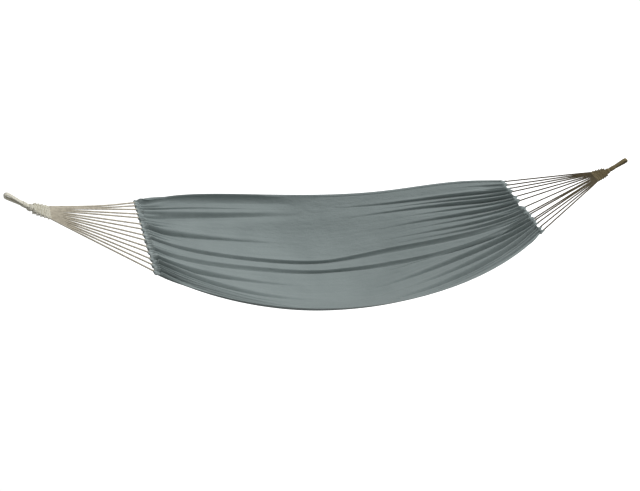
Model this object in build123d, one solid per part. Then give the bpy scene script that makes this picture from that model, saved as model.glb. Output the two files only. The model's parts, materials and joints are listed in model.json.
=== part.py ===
from build123d import *
import math
import os

# A gathered cotton hammock, hung by an eye at each end. All sizes are in millimetres.
# The origin is where the left eye bears on its hook, +X runs to the right eye and +Z is up.

# As hung: the two ends
hook_span = 2860.0  # from one eye's bearing point to the other's
neck_run = 80.0  # from a bearing point to the neck, along X
neck_drop = 64.0  # from a bearing point down to the neck
hem_run = 500.0  # from a bearing point to the outer edge of the gathered hem, along X
hem_drop = 253.0  # from a bearing point down to the gathered hem

# As hung: the bed
left_hem_width = 438.0  # the cloth gathered on the left cords
right_hem_width = 398.0  # the cloth gathered on the right cords
open_width = 748.0  # between the side edges at mid length
side_drop = 413.0  # from a bearing point down to the side edges at mid length
trough_depth = 210.0  # from the side edges down to the bottom of the trough at mid length
width_power = 3.2  # how late the bed narrows towards its hems
rise_power = 1.5  # how the bed rises towards its hems
middle_softness = 0.3  # rounds the middle of both curves

# Cloth
cloth_thickness = 1.6
pleat_count = 12
left_shift = -0.36  # how far the pleats crowd to the near side at the left hem
right_shift = -0.3
shift_power = 4.5
pleat_share = 0.38  # depth of a pleat, for each millimetre of its width
hem_opening = 0.4  # how much of that depth it has where it leaves the hem
pleat_opening = 45.0  # length over which a pleat opens from the hem
pleat_fade = 3.0  # how soon the pleats fade towards the middle
pleat_evenness = (0.8, 1.15, 0.95, 1.2, 0.9, 1.1, 1.0, 0.85, 1.05, 0.7, 0.9, 0.75)
long_fold_depth = 16.0  # the two folds that run the whole length
long_folds = (6, 7)  # which furrows between pleats they are, counted from the near side
station_runs = (0.0, 30.0, 75.0, 140.0, 230.0, 350.0, 490.0, 640.0, 780.0)  # sections, from a hem inwards

# Side hems
side_hem_width = 12.0
side_hem_thickness = 4.0
hem_direction_share = 0.995  # the cloth's direction at its edge is taken from this share of its width
straight_bow = 0.02  # an arc that bows less than this is a line

# Gathered end hems
channel_depth = 30.0  # along X
channel_thickness = 9.0  # where a cord enters
channel_swell = 0.3  # how much thicker a gather is, for each millimetre of its width
channel_scallop = 0.22  # how far the edge falls back between cords, for each millimetre of width
channel_end = 5.0  # the hem reaches past the cloth's corner
channel_round = 1 / 3  # of its thickness, rounded off at its edges
channel_face = 0.8  # height of its inner face, as a share of its thickness
channel_lip = 0.5  # height of its outer edge, as a share of its thickness
widest_gather = 34.0

# Harness cords
cord_diameter = 4.0
cord_fit = 0.3  # clearance of a cord in its hem
cord_inset = 13.0  # the cord's turn inside the hem, from the hem's outer edge
bend_share = 0.45  # of a run, taken by the arc at its end
left_strands = (0.95, 0.86, 0.75, 0.62, 0.51, 0.33, 0.19, 0.02, -0.12, -0.3, -0.45, -0.62, -0.77, -0.94)
right_strands = (0.95, 0.8, 0.67, 0.54, 0.35, 0.18, -0.07, -0.28, -0.34, -0.51, -0.57, -0.68, -0.82, -0.95)

# Woven heads
head_length = 72.0  # from the neck's centre to the edge where the strands come free
strand_pitch = 4.9  # between strands at that edge
head_margin = 1.6  # cloth of the weave outside the last strand
head_top_width = 20.0
head_top_thickness = 13.0
head_edge_thickness = 6.4
head_start = 8.0
head_round = 0.4  # of its thickness, rounded off at its corners

# Necks
knot_radius = 12.5
swing_clearance = 0.3  # between the round knot and the eye's cup
knot_seat = 0.3  # between the knot and the woven head

# Eyes
core_width = 16.0  # the flat bundle of cords inside the eye
core_thickness = 4.2
serving_wall = 1.2
serving_gap = 0.2
hook_gap = 9.0  # inside width of the eye at its bearing end
leg_gap = 0.6  # between the two legs at the neck
cup_depth = 7.5  # how far the legs reach into the knot's sphere

# Whippings
whip_wire = 2.5
whip_turns = 6
gap_samples = 48  # points in each turn at which the gap between turns is measured
whip_clearance = 0.3
whip_gap = 0.5  # between turns
whip_from_neck = 34.0  # from the neck's centre back to the first turn

band_width = core_width + 2 * (serving_wall + serving_gap)
band_thickness = core_thickness + 2 * (serving_wall + serving_gap)
eye_length = math.hypot(neck_run, neck_drop)
eye_slope = math.atan2(neck_drop, neck_run)
fan_slope = math.atan2(hem_drop - neck_drop, hem_run - neck_run)
bed_half_length = hook_span / 2 - hem_run - channel_depth
half_open = open_width / 2

# The section of the bed at mid length is a circular arc
trough_radius = (half_open**2 + trough_depth**2) / (2 * trough_depth)
trough_angle = math.atan2(half_open, trough_radius - trough_depth)

eye_plane = Plane(
    origin=(0, 0, 0),
    x_dir=(math.cos(eye_slope), 0, -math.sin(eye_slope)),
    z_dir=(0, -1, 0),
)
fan_plane = Plane(
    origin=(neck_run, 0, -neck_drop),
    x_dir=(math.cos(fan_slope), 0, -math.sin(fan_slope)),
    z_dir=(math.sin(fan_slope), 0, math.cos(fan_slope)),
)
middle_plane = Plane.YZ.offset(hook_span / 2)


def hem_width(end):
    """Width of the gathered cloth at one end."""
    return left_hem_width if end == "left" else right_hem_width


def strands(end):
    """Places of the strands across a hem, as shares of its half width, from the far side."""
    return left_strands if end == "left" else right_strands


def from_hook(end, run, y, z):
    """A point by its run along X from one end's bearing point."""
    return Vector(run if end == "left" else hook_span - run, y, z)


def smooth_power(share, power):
    """Rises from 0 at the middle to 1 at the hem, with a rounded middle."""
    low = middle_softness**power
    high = (1 + middle_softness**2) ** (power / 2)
    return ((share**2 + middle_softness**2) ** (power / 2) - low) / (high - low)


# The cloth's surface

def base_point(end, run, across):
    """The smooth bed, without pleats: run is measured inwards from the hem's inner face."""
    share = 1 - run / bed_half_length
    narrow = smooth_power(share, width_power)
    rise = smooth_power(share, rise_power)
    angle = trough_angle * across
    y = (1 - narrow) * trough_radius * math.sin(angle) + narrow * hem_width(end) / 2 * across
    hollow = trough_radius * (1 - math.cos(angle)) - side_drop - trough_depth
    z = (1 - rise) * hollow - rise * hem_drop
    return y, z


def crowded(end, run, share):
    """Where a point of the cloth's width lies, since the pleats crowd to the near side."""
    shift = left_shift if end == "left" else right_shift
    reach = abs(1 - run / bed_half_length) ** shift_power
    return share + shift * reach * (1 - share**2)


def opened(run):
    """How far the pleats have opened at this distance from the hem, up to 1."""
    return hem_opening + (1 - hem_opening) * (1 - math.exp(-((run / pleat_opening) ** 2)))


def furrow_share(index):
    """Where the furrow before pleat number index lies in the cloth's width, from -1 to 1."""
    return -1 + 2 * index / pleat_count


def pleat_depth(end, run, index):
    """Depth of one pleat: it opens from the hem and fades towards the middle."""
    near = base_point(end, run, crowded(end, run, furrow_share(index)))
    far = base_point(end, run, crowded(end, run, furrow_share(index + 1)))
    fade = abs(1 - run / bed_half_length) ** pleat_fade
    return pleat_share * math.dist(near, far) * opened(run) * fade * pleat_evenness[index]


def furrow_depth(end, run, index):
    """Depth below the smooth bed of the furrow before pleat number index."""
    if index in (0, pleat_count):
        return 0.0
    depth = (pleat_depth(end, run, index - 1) + pleat_depth(end, run, index)) / 4
    if index in long_folds:
        return max(depth, long_fold_depth * opened(run))
    return depth


def cloth_point(end, run, share, lift):
    """A point of the cloth, lifted along the smooth bed's normal."""
    step = 0.001
    across = crowded(end, run, share)
    y, z = base_point(end, run, across)
    y_next, z_next = base_point(end, run, across + step)
    length = math.hypot(y_next - y, z_next - z)
    y_up = -(z_next - z) / length
    z_up = (y_next - y) / length
    return from_hook(end, hem_run + channel_depth + run, y + lift * y_up, z + lift * z_up)


def bowed_edge(start, middle, finish):
    """An arc through three points, or a line where they are in line."""
    chord = finish - start
    bow = chord.cross(middle - start).length / chord.length
    if bow < straight_bow:
        return Edge.make_line(start, finish)
    return Edge.make_three_point_arc(start, middle, finish)


def cloth_side(end, run, below):
    """The arcs of one face of the cloth at a section, from the near side to the far side."""
    furrows = []
    crests = []
    for index in range(pleat_count + 1):
        depth = furrow_depth(end, run, index)
        furrows.append(cloth_point(end, run, furrow_share(index), -depth - below))
    for index in range(pleat_count):
        height = pleat_depth(end, run, index) / 2
        crests.append(cloth_point(end, run, furrow_share(index + 0.5), height - below))
    return furrows, crests


def cloth_section(end, run):
    """The closed outline of the cloth at one station."""
    top, top_crests = cloth_side(end, run, 0.0)
    low, low_crests = cloth_side(end, run, cloth_thickness)
    edges = []
    for index in range(pleat_count):
        edges.append(bowed_edge(top[index], top_crests[index], top[index + 1]))
    edges.append(Edge.make_line(top[-1], low[-1]))
    for index in reversed(range(pleat_count)):
        edges.append(bowed_edge(low[index + 1], low_crests[index], low[index]))
    edges.append(Edge.make_line(low[0], top[0]))
    return Wire(edges)


def stations():
    """End and run of each section, from the left hem to the right hem."""
    left = [("left", run) for run in station_runs]
    right = [("right", run) for run in reversed(station_runs)]
    return left + [("left", bed_half_length)] + right


def bed_cloth():
    """The sheet of canvas between the two gathered hems."""
    return Solid.make_loft([cloth_section(end, run) for end, run in stations()], True)


def side_hem(side):
    """A folded hem along one long edge; side is 1 for the far edge and -1 for the near edge."""
    outlines = []
    for end, run in stations():
        top = cloth_point(end, run, side, 0.0)
        low = cloth_point(end, run, side, -cloth_thickness)
        inner_top = cloth_point(end, run, side * hem_direction_share, 0.0)
        outward = (top - inner_top).normalized()
        up = (top - low).normalized()
        swell = (side_hem_thickness - cloth_thickness) / 2
        near_top = top + outward * swell + up * swell
        far_top = top + outward * side_hem_width + up * swell
        far_low = low + outward * side_hem_width - up * swell
        near_low = low + outward * swell - up * swell
        outlines.append(Wire.make_polygon([top, near_top, far_top, far_low, near_low, low], close=True))
    return Solid.make_loft(outlines, True)


# The gathered end hems and the harness

def hem_outline(end, y, gather):
    """The hem's section where a gather is that wide; gather is 0 where a cord enters."""
    half = (channel_thickness + channel_swell * gather) / 2
    outer = hem_run + channel_scallop * gather
    inner = hem_run + channel_depth
    round_off = channel_thickness * channel_round
    corners = (
        (outer, -half * channel_lip),
        (outer + round_off, -half),
        (inner - round_off, -half),
        (inner, -half * channel_face),
        (inner, half * channel_face),
        (inner - round_off, half),
        (outer + round_off, half),
        (outer, half * channel_lip),
    )
    points = [from_hook(end, run, y, z - hem_drop) for run, z in corners]
    return Wire.make_polygon(points, close=True)


def strand_places(end):
    """Y of each strand where it enters the hem."""
    return [share * hem_width(end) / 2 for share in strands(end)]


def end_hem(end, cords):
    """The channel at one end, gathered on its cords, with the cords' way through it."""
    places = strand_places(end)
    reach = hem_width(end) / 2 + channel_end
    outlines = [hem_outline(end, reach, 0.0)]
    for index, y in enumerate(places):
        if index:
            gap = places[index - 1] - y
            outlines.append(hem_outline(end, y + gap / 2, min(gap, widest_gather)))
        outlines.append(hem_outline(end, y, 0.0))
    outlines.append(hem_outline(end, -reach, 0.0))
    hem = Solid.make_loft(outlines, True)
    for points in cords:
        hem = hem - cord_tube(points, cord_diameter / 2 + cord_fit)
    return hem


def cord_points(end, number):
    """The route of one cord: from the head, through the hem and back to the head."""
    points = []
    for strand in (2 * number, 2 * number + 1):
        spread = (len(strands(end)) - 1) / 2 - strand
        start = fan_plane.from_local_coords(Vector(head_length - cord_diameter, spread * strand_pitch, 0))
        hem = Vector(hem_run + cord_inset, strand_places(end)[strand], -hem_drop)
        leg = [from_hook(end, start.X, start.Y, start.Z), from_hook(end, hem.X, hem.Y, hem.Z)]
        points += leg if strand % 2 == 0 else reversed(leg)
    return points


def bend_radii(points):
    """The arc at each corner takes its share of the shorter run beside it."""
    radii = []
    for before, corner, after in zip(points, points[1:], points[2:]):
        turn = (corner - before).get_angle(after - corner)
        shorter = min((corner - before).length, (after - corner).length)
        radii.append(bend_share * shorter / math.tan(math.radians(turn / 2)))
    return radii


def cord_route(points):
    """Straight runs joined by tangent arcs."""
    return FilletPolyline(*points, radius=bend_radii(points))


def cord_tube(points, radius):
    """A round tube along a cord's route."""
    route = cord_route(points)
    disc = Plane(origin=route @ 0, z_dir=route % 0) * Circle(radius)
    return sweep(disc, path=route)


def harness_cord(points, head):
    """One cord of the harness, flush with the edge of the woven head."""
    return cord_tube(points, cord_diameter / 2) - head


def woven_head():
    """The wedge in which the strands are woven together, below the left neck."""
    edge_width = (len(left_strands) - 1) * strand_pitch + cord_diameter + 2 * head_margin
    outlines = []
    for place in (head_start, head_length):
        share = (place - head_start) / (head_length - head_start)
        width = head_top_width + share * (edge_width - head_top_width)
        thickness = head_top_thickness + share * (head_edge_thickness - head_top_thickness)
        section = Plane(
            origin=fan_plane.from_local_coords(Vector(place, 0, 0)),
            x_dir=fan_plane.y_dir,
            z_dir=fan_plane.x_dir,
        )
        outlines.append(section * RectangleRounded(width, thickness, thickness * head_round))
    wedge = loft(outlines, ruled=True)
    return wedge - Pos(fan_plane.origin) * Sphere(knot_radius + knot_seat)


def neck_knot():
    """The round knot at the left neck, about which the bed swings."""
    return Pos(fan_plane.origin) * Sphere(knot_radius)


# The eyes

def eye_band(width, thickness):
    """A flat band along the left eye: down one leg, round the hook and back."""
    tip_radius = (hook_gap + band_thickness) / 2
    tip_centre = hook_gap / 2
    leg_end = eye_length - cup_depth
    leg_height = (band_thickness + leg_gap) / 2
    waist = eye_length - whip_from_neck - whip_wire
    edges = []
    for side in (1, -1):
        leg = Line((leg_end, side * leg_height), (waist, side * leg_height))
        halfway = ((waist + tip_centre) / 2, side * (leg_height + tip_radius) / 2)
        opening = TangentArc((waist, side * leg_height), halfway, tangent=(-1, 0))
        closing = TangentArc(halfway, (tip_centre, side * tip_radius), tangent=opening % 1)
        edges += [leg, opening, closing]
    tip = ThreePointArc((tip_centre, tip_radius), (tip_centre - tip_radius, 0), (tip_centre, -tip_radius))
    section = Plane(origin=(leg_end, leg_height, 0), x_dir=(0, 0, 1), z_dir=(-1, 0, 0))
    return sweep(section * SlotOverall(width, thickness), path=Wire([*edges, tip]))


def cup():
    """The space of the knot, with its running clearance, in the eye's own plane."""
    return Pos(eye_length, 0, 0) * Sphere(knot_radius + swing_clearance)


def eye_core():
    """The bundle of cords that forms the left eye."""
    return eye_plane * (eye_band(core_width, core_thickness) - cup())


def eye_serving():
    """The wrapping round the left eye's bundle."""
    outer = eye_band(band_width, band_thickness)
    inner = eye_band(core_width + 2 * serving_gap, core_thickness + 2 * serving_gap)
    return eye_plane * (outer - inner - cup())


def biarc(start, start_dir, finish, finish_dir):
    """Two arcs that join two points along their directions, as their three points each."""
    step = finish - start
    both = start_dir + finish_dir
    spare = 2 * (1 - start_dir.dot(finish_dir))
    reach = (-step.dot(both) + math.sqrt(step.dot(both) ** 2 + spare * step.dot(step))) / spare
    first_corner = start + start_dir * reach
    second_corner = finish - finish_dir * reach
    joint = (first_corner + second_corner) * 0.5
    arcs = []
    for near, corner, far in ((start, first_corner, joint), (joint, second_corner, finish)):
        chord_middle = (near + far) * 0.5
        half_chord = (far - near).length / 2
        rise = corner - chord_middle
        bow = half_chord * math.tan(math.atan2(rise.length, half_chord) / 2)
        arcs.append((near, chord_middle + rise.normalized() * bow, far))
    return arcs


def whipping_route():
    """The whipping's wire, wound round the two legs above the left neck."""
    radius = whip_radius()
    pitch = whip_wire + whip_gap
    first = eye_length - whip_from_neck
    quarters = 4 * whip_turns
    places = []
    for quarter in range(quarters + 1):
        angle = quarter * math.pi / 2
        place = Vector(first + pitch * quarter / 4, radius * math.cos(angle), radius * math.sin(angle))
        along = Vector(pitch / (2 * math.pi), -radius * math.sin(angle), radius * math.cos(angle))
        places.append((place, along.normalized()))
    edges = [Edge.make_line(places[0][0] - places[0][1] * whip_wire, places[0][0])]
    for (start, start_dir), (finish, finish_dir) in zip(places, places[1:]):
        for near, middle, far in biarc(start, start_dir, finish, finish_dir):
            edges.append(Edge.make_three_point_arc(near, middle, far))
    edges.append(Edge.make_line(places[-1][0], places[-1][0] + places[-1][1] * whip_wire))
    return Wire(edges)


def whip_radius():
    """From the legs' axis to the whipping wire's middle, clear of the legs' rounded corners."""
    corner_round = band_thickness / 2
    half_height = band_thickness + leg_gap / 2
    corner = math.hypot(band_width / 2 - corner_round, half_height - corner_round) + corner_round
    return corner + whip_clearance + whip_wire / 2


def eye_whipping():
    """The cord wound round the left eye's two legs above the neck."""
    route = whipping_route()
    disc = Plane(origin=route @ 0, z_dir=route % 0) * Circle(whip_wire / 2)
    return eye_plane * sweep(disc, path=route)


def least_turn_gap(route):
    """Least gap between turns of a wound wire, measured on points along it."""
    count = gap_samples * whip_turns
    points = [route @ (index / count) for index in range(count + 1)]
    turn = 2 * math.pi * whip_radius()
    skip = int(turn / 2 / (route.length / count))
    nearest = min(
        (points[one] - points[two]).length
        for one in range(len(points))
        for two in range(one + skip, len(points))
    )
    return nearest - whip_wire


def report_cord(name, points, tube):
    """Prints a cord's radii and compares its volume with its section times its length."""
    length = cord_route(points).length
    share = tube.volume / (math.pi * cord_diameter**2 / 4 * length)
    radii = ", ".join(f"{radius:.1f}" for radius in bend_radii(points))
    print(f"{name}: length {length:.0f}, radii {radii}, volume share {share:.3f}")


def mirrored(solid):
    """The right end's copy of a solid made for the left end."""
    return solid.mirror(middle_plane)


def save(name, solid):
    """Writes one sub-part."""
    export_step(solid, f"parts/{name}.step")


os.makedirs("parts", exist_ok=True)

save("bed_cloth", bed_cloth())
save("far_side_hem", side_hem(1))
save("near_side_hem", side_hem(-1))

print(f"whipping: least gap between turns {least_turn_gap(whipping_route()):.2f}")

for end in ("left", "right"):
    placed = mirrored if end == "right" else (lambda solid: solid)
    head = placed(woven_head())
    save(f"{end}_eye_core", placed(eye_core()))
    save(f"{end}_eye_serving", placed(eye_serving()))
    save(f"{end}_eye_whipping", placed(eye_whipping()))
    save(f"{end}_neck_knot", placed(neck_knot()))
    save(f"{end}_woven_head", head)
    routes = [cord_points(end, number) for number in range(len(strands(end)) // 2)]
    for number, points in enumerate(routes):
        tube = harness_cord(points, head)
        report_cord(f"{end} harness cord {number + 1}", points, tube)
        save(f"{end}_harness_cord_{number + 1}", tube)
    save(f"{end}_end_hem", end_hem(end, routes))
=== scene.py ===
import json
import logging
import math
from dataclasses import dataclass, field
from enum import Enum

import bpy
import numpy as np
from mathutils import Matrix

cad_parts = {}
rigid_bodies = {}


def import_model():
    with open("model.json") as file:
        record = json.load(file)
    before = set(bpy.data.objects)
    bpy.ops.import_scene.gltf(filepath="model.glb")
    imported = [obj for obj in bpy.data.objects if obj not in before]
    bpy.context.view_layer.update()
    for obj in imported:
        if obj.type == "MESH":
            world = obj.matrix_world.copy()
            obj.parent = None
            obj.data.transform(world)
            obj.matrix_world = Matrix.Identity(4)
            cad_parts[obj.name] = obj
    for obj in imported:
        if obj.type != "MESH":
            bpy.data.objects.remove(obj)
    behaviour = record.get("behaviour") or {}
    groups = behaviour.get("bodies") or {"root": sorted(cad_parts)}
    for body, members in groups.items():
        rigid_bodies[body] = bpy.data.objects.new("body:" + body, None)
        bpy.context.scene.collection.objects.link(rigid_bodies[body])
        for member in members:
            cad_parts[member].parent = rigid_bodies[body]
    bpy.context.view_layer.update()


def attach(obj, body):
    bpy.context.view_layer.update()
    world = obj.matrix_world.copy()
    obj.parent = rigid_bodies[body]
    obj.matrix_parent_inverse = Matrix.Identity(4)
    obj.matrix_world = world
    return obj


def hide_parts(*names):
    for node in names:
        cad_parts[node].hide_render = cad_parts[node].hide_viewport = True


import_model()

log = logging.getLogger("hammock")
Z_UP = np.array([0.0, 0.0, 1.0])


# Meshes

def unit(vectors: np.ndarray) -> np.ndarray:
    """Scales vectors to length one.

    Args:
        vectors: Vectors along the last axis.

    Returns:
        The same directions, each of length one.
    """
    return vectors / np.maximum(np.linalg.norm(vectors, axis=-1, keepdims=True), 1e-12)


def power_fall(distance: np.ndarray, width: np.ndarray | float, power: float) -> np.ndarray:
    """Falls from 1 on a line to 0 beside it: e to the minus (distance over width) to a power.

    Args:
        distance: Signed distance from the line.
        width: Distance at which the value has fallen to 1/e.
        power: 2 is a bell, lower is a sharper crease.

    Returns:
        The value at each distance.
    """
    return np.exp(-np.abs(distance / width) ** power)


def grid_quads(rows: int, columns: int, wrap: bool) -> np.ndarray:
    """The quads of a grid of points.

    Args:
        rows: Points along the first parameter.
        columns: Points along the second parameter.
        wrap: Whether the last column joins the first one.

    Returns:
        Four point numbers for each quad.
    """
    count = columns if wrap else columns - 1
    row, column = np.meshgrid(np.arange(rows - 1), np.arange(count), indexing="ij")
    beside = (column + 1) % columns
    corners = (row * columns + column, (row + 1) * columns + column, (row + 1) * columns + beside, row * columns + beside)
    return np.stack(corners, axis=-1).reshape(-1, 4)


def grid_uv(along: np.ndarray, around: np.ndarray) -> np.ndarray:
    """Texture places at the four corners of each quad of a grid.

    Args:
        along: Place of each row, in metres.
        around: Place of each column edge, one more than the quads that go round.

    Returns:
        Two numbers for each corner of each quad.
    """
    first, second = np.meshgrid(along, around, indexing="ij")
    both = np.stack([first, second], axis=-1)
    corners = (both[:-1, :-1], both[1:, :-1], both[1:, 1:], both[:-1, 1:])
    return np.stack(corners, axis=2).reshape(-1, 2)


def new_piece(name: str, points: np.ndarray, quads: np.ndarray, uv: np.ndarray, caps: list[list[int]] | None = None):
    """Makes a smooth mesh object at the origin.

    Args:
        name: The piece's name.
        points: Its points, three numbers each.
        quads: Its quads.
        uv: Texture places of the quads' corners.
        caps: Further faces that close its ends.

    Returns:
        The new object.
    """
    mesh = bpy.data.meshes.new(name)
    faces = quads.tolist() + (caps or [])
    mesh.from_pydata(points.reshape(-1, 3).tolist(), [], faces)
    places = np.zeros((len(mesh.loops), 2))
    places[: len(uv)] = uv
    mesh.uv_layers.new(name="Cloth").data.foreach_set("uv", places.ravel())
    mesh.polygons.foreach_set("use_smooth", np.ones(len(faces), dtype=bool))
    mesh.update()
    piece = bpy.data.objects.new(name, mesh)
    bpy.context.scene.collection.objects.link(piece)
    return piece


def tube_frames(path: np.ndarray, up: np.ndarray) -> tuple[np.ndarray, np.ndarray]:
    """Two directions across a path: the first is square to the path and to a given direction.

    Args:
        path: Points of the path.
        up: A direction, or one for each point, that the path never follows.

    Returns:
        The side and the normal at each point.
    """
    forward = unit(np.gradient(path, axis=0))
    side = unit(np.cross(forward, np.broadcast_to(up, path.shape)))
    return side, np.cross(side, forward)


def swept(name: str, path: np.ndarray, up: np.ndarray, profile: np.ndarray):
    """Carries a closed profile along a path and closes both ends.

    A point is the path's point plus the profile's first number along the side and its second along the normal.

    Args:
        name: The piece's name.
        path: Points of the path.
        up: A direction that the path never follows, or one for each point.
        profile: The profile's points, one set for each point of the path.

    Returns:
        The new object.
    """
    side, normal = tube_frames(path, up)
    points = path[:, None] + profile[..., :1] * side[:, None] + profile[..., 1:] * normal[:, None]
    rows, columns = points.shape[:2]
    steps = np.linalg.norm(np.diff(path, axis=0), axis=1)
    along = np.concatenate([[0.0], np.cumsum(steps)])
    girth = np.linalg.norm(profile[0] - np.roll(profile[0], 1, axis=0), axis=1).sum()
    uv = grid_uv(along, np.linspace(0.0, girth, columns + 1))
    caps = [list(range(columns)), list(range(rows * columns - 1, (rows - 1) * columns - 1, -1))]
    return new_piece(name, points, grid_quads(rows, columns, True)[:, ::-1], uv.reshape(-1, 4, 2)[:, ::-1].reshape(-1, 2), caps)


def joined(name: str, pieces: list):
    """Joins several meshes into one piece.

    Args:
        name: The new piece's name.
        pieces: The objects, which are used up.

    Returns:
        The joined object.
    """
    for other in bpy.context.view_layer.objects:
        other.select_set(False)
    for piece in pieces:
        piece.select_set(True)
    bpy.context.view_layer.objects.active = pieces[0]
    bpy.ops.object.join()
    pieces[0].name = name
    pieces[0].data.name = name
    return pieces[0]


# Shader nodes

class Graph:
    """Builds the nodes of one material or node group."""

    def __init__(self, tree) -> None:
        """Takes the node tree to build in."""
        self.tree = tree

    def node(self, kind: str, inputs: dict | None = None, **settings):
        """Adds a node.

        Args:
            kind: The node's type name, without ShaderNode.
            inputs: Values or sockets for its inputs, by name or number.
            settings: Its other settings.

        Returns:
            The new node.
        """
        made = self.tree.nodes.new(kind if "Node" in kind else "ShaderNode" + kind)
        for key, value in settings.items():
            setattr(made, key, value)
        for key, value in (inputs or {}).items():
            if isinstance(value, bpy.types.NodeSocket):
                self.tree.links.new(value, made.inputs[key])
            else:
                made.inputs[key].default_value = value
        return made

    def math(self, operation: str, *values):
        """Adds a Math node and returns its value; the values are numbers or sockets."""
        return self.node("Math", dict(enumerate(values)), operation=operation).outputs[0]

    def mix(self, factor, first, second, blend: str = "MIX"):
        """Adds a colour Mix node and returns its colour; its inputs are values or sockets."""
        made = self.node("Mix", {0: factor, 6: first, 7: second}, data_type="RGBA", blend_type=blend)
        return made.outputs[2]

    def noise(self, place, scale: float, detail: float = 2.0, roughness: float = 0.5):
        """Adds a Noise node and returns its value; place is a socket with the coordinates."""
        inputs = {"Vector": place, "Scale": scale, "Detail": detail, "Roughness": roughness}
        return self.node("TexNoise", inputs).outputs["Fac"]

    def stretch(self, place, scale: tuple[float, float, float]):
        """Scales coordinates along their axes and returns them."""
        return self.node("Mapping", {"Vector": place, "Scale": scale}).outputs[0]

    def spread(self, value, low: float, high: float, to_low: float = 0.0, to_high: float = 1.0):
        """Adds a Map Range node and returns its value."""
        inputs = {0: value, 1: low, 2: high, 3: to_low, 4: to_high}
        return self.node("MapRange", inputs).outputs[0]


def new_group(name: str, sockets: dict[str, float | tuple], outputs: dict[str, str]) -> tuple:
    """Starts a shader node group.

    Args:
        name: The group's name.
        sockets: Its inputs with their usual values; a tuple is a colour.
        outputs: Its outputs with their socket types.

    Returns:
        The group, its Graph, its input node and its output node.
    """
    group = bpy.data.node_groups.new(name, "ShaderNodeTree")
    for label, value in sockets.items():
        kind = "NodeSocketColor" if isinstance(value, tuple) else "NodeSocketFloat"
        made = group.interface.new_socket(label, in_out="INPUT", socket_type=kind)
        made.default_value = value
    for label, kind in outputs.items():
        group.interface.new_socket(label, in_out="OUTPUT", socket_type=kind)
    graph = Graph(group)
    return group, graph, graph.node("NodeGroupInput"), graph.node("NodeGroupOutput")


def linear(colour: tuple[float, float, float]) -> tuple[float, float, float, float]:
    """A colour as seen on a screen, from 0 to 1, as the shader takes it: its power of 2.2."""
    return (*[part**2.2 for part in colour], 1.0)


def worn_colour_group():
    """A group that varies a colour in broad soft patches and in fine flecks.

    Returns:
        The group: colour = base, darkened by broad noise and lightened by fine noise.
    """
    sockets = {"Base": (0.5, 0.5, 0.5, 1.0), "Dark": (0.4, 0.4, 0.4, 1.0), "Light": (0.6, 0.6, 0.6, 1.0),
               "Patch Scale": 6.0, "Fleck Scale": 400.0, "Patches": 0.4, "Flecks": 0.3}
    group, graph, inputs, outputs = new_group("worn_colour", sockets, {"Color": "NodeSocketColor", "Fleck": "NodeSocketFloat"})
    place = graph.node("TexCoord").outputs["Object"]
    broad = graph.node("TexNoise", {"Vector": place, "Scale": inputs.outputs["Patch Scale"], "Detail": 3.0}).outputs["Fac"]
    fine = graph.node("TexNoise", {"Vector": place, "Scale": inputs.outputs["Fleck Scale"], "Detail": 2.0}).outputs["Fac"]
    dark_share = graph.math("MULTIPLY", graph.spread(broad, 0.4, 0.7), inputs.outputs["Patches"])
    patched = graph.mix(dark_share, inputs.outputs["Base"], inputs.outputs["Dark"])
    light_share = graph.math("MULTIPLY", graph.spread(fine, 0.5, 0.75), inputs.outputs["Flecks"])
    flecked = graph.mix(light_share, patched, inputs.outputs["Light"])
    graph.tree.links.new(flecked, outputs.inputs["Color"])
    graph.tree.links.new(fine, outputs.inputs["Fleck"])
    return group


def plain_weave_group():
    """A group for canvas: threads over and under each other on the cloth's own texture places.

    Returns:
        The group: height = the higher of the warp's wave and the weft's wave, each half a thread out of step with the
            next; gap shade = 1 between the threads, for painted shade there.
    """
    group, graph, inputs, outputs = new_group("plain_weave", {"Thread": 0.0012}, {"Height": "NodeSocketFloat", "Gap Shade": "NodeSocketFloat"})
    place = graph.node("UVMap", uv_map="Cloth").outputs[0]
    split = graph.node("SeparateXYZ", {0: place})
    phase = []
    for axis in ("X", "Y"):
        turns = graph.math("DIVIDE", split.outputs[axis], inputs.outputs["Thread"])
        phase.append(graph.math("MULTIPLY", turns, math.pi))
    waves = []
    for one, two in ((phase[0], phase[1]), (phase[1], phase[0])):
        across = graph.math("ABSOLUTE", graph.math("SINE", one))
        over = graph.math("MULTIPLY", graph.math("SINE", graph.math("ADD", two, math.pi / 2)), 0.5)
        waves.append(graph.math("MULTIPLY", across, graph.math("ADD", over, 0.6)))
    height = graph.math("MAXIMUM", waves[0], waves[1])
    graph.tree.links.new(height, outputs.inputs["Height"])
    graph.tree.links.new(graph.spread(height, 0.1, 0.5, 1.0, 0.0), outputs.inputs["Gap Shade"])
    return group


def fibre_group():
    """A group for cord: fine fibres that lie along the yarn, and fuzz.

    Returns:
        The group: height = noise stretched along the cord's texture places plus fine noise.
    """
    group, graph, inputs, outputs = new_group("yarn_fibre", {"Stretch": 8.0, "Scale": 2500.0}, {"Height": "NodeSocketFloat"})
    place = graph.node("UVMap", uv_map="Cloth").outputs[0]
    split = graph.node("SeparateXYZ", {0: place})
    slow = graph.math("DIVIDE", split.outputs["X"], inputs.outputs["Stretch"])
    drawn = graph.node("CombineXYZ", {0: slow, 1: split.outputs["Y"]}).outputs[0]
    fibres = graph.node("TexNoise", {"Vector": drawn, "Scale": inputs.outputs["Scale"], "Detail": 3.0}).outputs["Fac"]
    graph.tree.links.new(fibres, outputs.inputs["Height"])
    return group


@dataclass(frozen=True)
class Groups:
    """The shared shader effects, built once."""

    worn: object
    weave: object
    fibre: object

    @staticmethod
    def build() -> "Groups":
        """Builds the three groups."""
        return Groups(worn_colour_group(), plain_weave_group(), fibre_group())


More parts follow.
